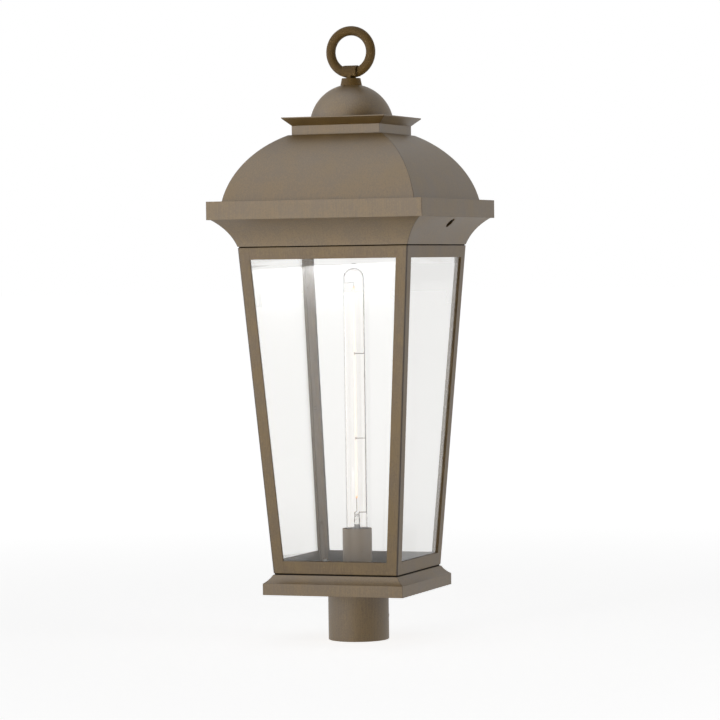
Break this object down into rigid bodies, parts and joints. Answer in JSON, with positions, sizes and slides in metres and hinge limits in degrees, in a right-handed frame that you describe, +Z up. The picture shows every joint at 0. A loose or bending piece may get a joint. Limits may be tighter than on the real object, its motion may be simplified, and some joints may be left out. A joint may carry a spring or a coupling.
{
  "type": "post top lantern",
  "caption": "Square outdoor lantern for a round post: tapered glazed cage, domed roof that lifts off, ring finial that tilts and a long tubular lamp.",
  "frame": {"origin": "centre of the open lower rim of the post fitter", "axes": "+Z up along the post; -Y is the front seen in the picture, +X the side with the vent"},
  "size_m": [0.304, 0.304, 0.8326],
  "materials": {
    "bronze_coat": "satin taupe bronze powder coat with a fine speckle, on aluminium",
    "bronze_screw": "steel coated to match the body",
    "zinc_steel": "zinc plated",
    "brass": "bare brass",
    "pane_glass": "clear, bevelled on the inside",
    "lampholder": "white glazed moulding",
    "lamp_base": "thin nickel plated shell",
    "lamp_insulator": "black glassy insulator",
    "lamp_solder": "solder tip",
    "lamp_glass": "clear",
    "lamp_stem": "clear pressed stem",
    "filament": "pale yellow coated filament",
    "lamp_wire": "plain wire"
  },
  "bodies": {
    "lantern_body": {"fitter_tube": "bronze_coat", "fitter_flange": "bronze_coat", "base_moulding": "bronze_coat", "base_plate": "bronze_coat", "floor_pan": "bronze_coat", "socket_cover": "bronze_coat", "corner_post_front_right": "bronze_coat", "corner_post_rear_right": "bronze_coat", "corner_post_rear_left": "bronze_coat", "corner_post_front_left": "bronze_coat", "bottom_rail_front": "bronze_coat", "bottom_rail_right": "bronze_coat", "bottom_rail_rear": "bronze_coat", "bottom_rail_left": "bronze_coat", "top_rail_front": "bronze_coat", "top_rail_right": "bronze_coat", "top_rail_rear": "bronze_coat", "top_rail_left": "bronze_coat", "glass_retainers": "bronze_coat", "fitter_screws": "zinc_steel", "cage_screws": "zinc_steel", "glass_retainer_screws": "zinc_steel", "socket_nipple": "zinc_steel", "nipple_nut": "zinc_steel", "lampholder_shell": "brass", "lampholder_contact": "brass", "glass_pane_front": "pane_glass", "glass_pane_right": "pane_glass", "glass_pane_rear": "pane_glass", "glass_pane_left": "pane_glass", "lampholder_body": "lampholder"},
    "roof": {"roof_panel_front": "bronze_coat", "roof_panel_right": "bronze_coat", "roof_panel_rear": "bronze_coat", "roof_panel_left": "bronze_coat", "cornice_front": "bronze_coat", "cornice_right": "bronze_coat", "cornice_rear": "bronze_coat", "cornice_left": "bronze_coat", "roof_skirt": "bronze_coat", "crown_collar": "bronze_coat", "crown_eave": "bronze_coat", "crown_crossbar": "bronze_coat", "cap_dome": "bronze_coat", "finial_neck": "bronze_coat", "finial_strap": "bronze_coat", "finial_rod": "zinc_steel", "finial_nut": "zinc_steel"},
    "hanging_ring": {"finial_ring": "bronze_coat"},
    "lamp_seat": {"lamp_tip": "lamp_solder"},
    "lamp": {"lamp_insulator": "lamp_insulator", "lamp_base_shell": "lamp_base", "lamp_glass": "lamp_glass", "lamp_stem": "lamp_stem", "lamp_filaments": "filament", "lamp_wires": "lamp_wire"},
    "roof_lock_left": {"roof_lock_screw_left": "bronze_screw"},
    "roof_lock_right": {"roof_lock_screw_right": "bronze_screw"},
    "post_screw_left": {"post_set_screw_left": "zinc_steel"},
    "post_screw_right": {"post_set_screw_right": "zinc_steel"}
  },
  "joints": [
    {"name": "roof_lift", "type": "slide", "parent": "lantern_body", "child": "roof", "axis": [0, 0, 1], "range_m": [0, 0.15]},
    {"name": "ring_tilt", "type": "hinge", "parent": "roof", "child": "hanging_ring", "pos_m": [0, 0, 0.7687], "axis": [1, 0, 0], "range_deg": [-88, 88]},
    {"name": "lamp_rise", "type": "slide", "parent": "lantern_body", "child": "lamp_seat", "axis": [0, 0, 1], "range_m": [0, 0.0182]},
    {"name": "lamp_turn", "type": "hinge", "parent": "lamp_seat", "child": "lamp", "pos_m": [0, 0, 0.1225], "axis": [0, 0, 1], "range_deg": [0, 1800]},
    {"name": "roof_lock_left_turn_out", "type": "slide", "parent": "lantern_body", "child": "roof_lock_left", "axis": [0, 1, 0], "range_m": [0, 0.006]},
    {"name": "roof_lock_right_turn_out", "type": "slide", "parent": "lantern_body", "child": "roof_lock_right", "axis": [0, 1, 0], "range_m": [0, 0.006]},
    {"name": "post_screw_left_turn_in", "type": "slide", "parent": "lantern_body", "child": "post_screw_left", "axis": [0.7071, -0.7071, 0], "range_m": [0, 0.004]},
    {"name": "post_screw_right_turn_in", "type": "slide", "parent": "lantern_body", "child": "post_screw_right", "axis": [-0.7071, -0.7071, 0], "range_m": [0, 0.004]}
  ],
  "couplings": [
    {"joint": "lamp_rise", "follows": "lamp_turn", "m_per_rad": 0.00057773}
  ]
}
